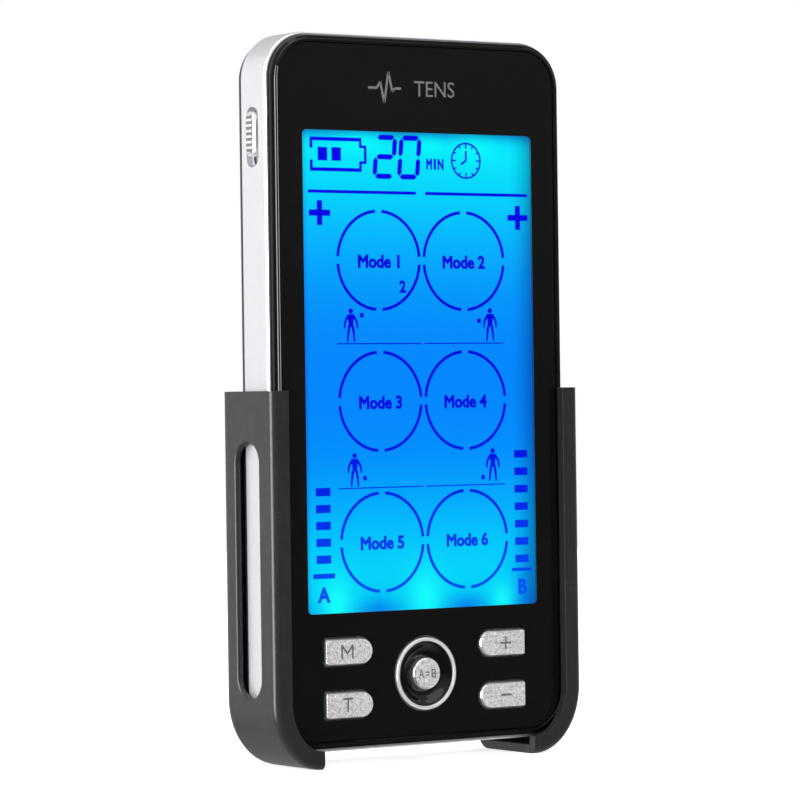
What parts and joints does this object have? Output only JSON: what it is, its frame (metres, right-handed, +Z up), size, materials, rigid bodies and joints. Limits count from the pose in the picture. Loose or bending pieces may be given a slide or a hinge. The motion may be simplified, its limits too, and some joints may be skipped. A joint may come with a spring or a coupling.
{
  "type": "tens unit",
  "caption": "Slim hand-held nerve stimulator with a tall backlit display and five keys, standing in an open holster with a swivelling sprung belt clip.",
  "frame": {"origin": "on the ground under the middle of the bounding box, with the holster standing on its two lower corners", "axes": "+Z up along the unit's long side, -Y out of the display, +Y to the belt clip, +X to the right seen from the front"},
  "size_m": [0.0642, 0.03, 0.1253],
  "materials": {
    "gloss_black": "high gloss piano black",
    "clear_window": "polished clear acrylic",
    "silver_frame": "fine satin, bright cut front edge",
    "rear_black": "fine spark-eroded texture",
    "screw_steel": "bright zinc plate",
    "key_silver": "sand-blasted grain with polished edges",
    "polished_ring": "polished plate",
    "switch_black": "moulded",
    "lcd_glow": "backlit blue display with dark segments",
    "diffuser_white": "white light guide",
    "board_green": "solder mask",
    "cell_foil": "crinkled pouch foil",
    "winding_yellow": "tape over windings",
    "jack_black": "moulded",
    "port_steel": "nickel-plated shell",
    "holster_plastic": "fine matte texture with worn-smooth edges",
    "clip_plastic": "fine matte texture"
  },
  "bodies": {
    "holster": {"holster": "holster_plastic", "swivel_screw": "screw_steel", "swivel_washer": "screw_steel"},
    "unit": {"front_bezel": "gloss_black", "front_panel": "gloss_black", "display_window": "clear_window", "mid_frame": "silver_frame", "rear_cover": "rear_black", "case_screw_1": "screw_steel", "case_screw_2": "screw_steel", "case_screw_3": "screw_steel", "case_screw_4": "screw_steel", "dial_ring": "polished_ring", "dial_dish": "gloss_black", "tact_switch_mode": "switch_black", "tact_switch_time": "switch_black", "tact_switch_plus": "switch_black", "tact_switch_minus": "switch_black", "tact_switch_channel": "switch_black", "side_switch_body": "switch_black", "lcd_bracket": "switch_black", "lcd_glass": "lcd_glow", "lcd_backlight": "diffuser_white", "main_board": "board_green", "battery": "cell_foil", "processor_chip": "switch_black", "output_transformer_a": "winding_yellow", "output_transformer_b": "winding_yellow", "output_jack_a": "jack_black", "output_jack_b": "jack_black", "charging_port": "port_steel"},
    "key_mode": {"key_mode": "key_silver"},
    "key_time": {"key_time": "key_silver"},
    "key_plus": {"key_plus": "key_silver"},
    "key_minus": {"key_minus": "key_silver"},
    "key_channel": {"key_channel": "key_silver"},
    "side_switch": {"side_switch_knob": "key_silver"},
    "clip": {"clip_base": "clip_plastic", "clip_pin": "screw_steel", "clip_spring": "screw_steel"},
    "clip_lever": {"clip_lever": "clip_plastic"}
  },
  "joints": [
    {"name": "unit_lift", "type": "slide", "parent": "holster", "child": "unit", "axis": [0, 0, 1], "range_m": [0, 0.07]},
    {"name": "key_mode_press", "type": "slide", "parent": "unit", "child": "key_mode", "axis": [0, 1, 0], "range_m": [0, 0.0004], "stiffness_N_per_m": 250, "springref_m": -0.0008},
    {"name": "key_time_press", "type": "slide", "parent": "unit", "child": "key_time", "axis": [0, 1, 0], "range_m": [0, 0.0004], "stiffness_N_per_m": 250, "springref_m": -0.0008},
    {"name": "key_plus_press", "type": "slide", "parent": "unit", "child": "key_plus", "axis": [0, 1, 0], "range_m": [0, 0.0004], "stiffness_N_per_m": 250, "springref_m": -0.0008},
    {"name": "key_minus_press", "type": "slide", "parent": "unit", "child": "key_minus", "axis": [0, 1, 0], "range_m": [0, 0.0004], "stiffness_N_per_m": 250, "springref_m": -0.0008},
    {"name": "key_channel_press", "type": "slide", "parent": "unit", "child": "key_channel", "axis": [0, 1, 0], "range_m": [0, 0.0004], "stiffness_N_per_m": 250, "springref_m": -0.0008},
    {"name": "side_switch_slide", "type": "slide", "parent": "unit", "child": "side_switch", "axis": [0, 0, -1], "range_m": [0, 0.0015]},
    {"name": "clip_swivel", "type": "hinge", "parent": "holster", "child": "clip", "pos_m": [0, 0.0055, 0.0433], "axis": [0, 1, 0], "continuous": true},
    {"name": "clip_open", "type": "hinge", "parent": "clip", "child": "clip_lever", "pos_m": [0, 0.0101, 0.0593], "axis": [1, 0, 0], "range_deg": [0, 18], "stiffness_Nm_per_rad": 0.25, "springref_deg": -22.92, "deforming": ["clip_spring"]}
  ]
}
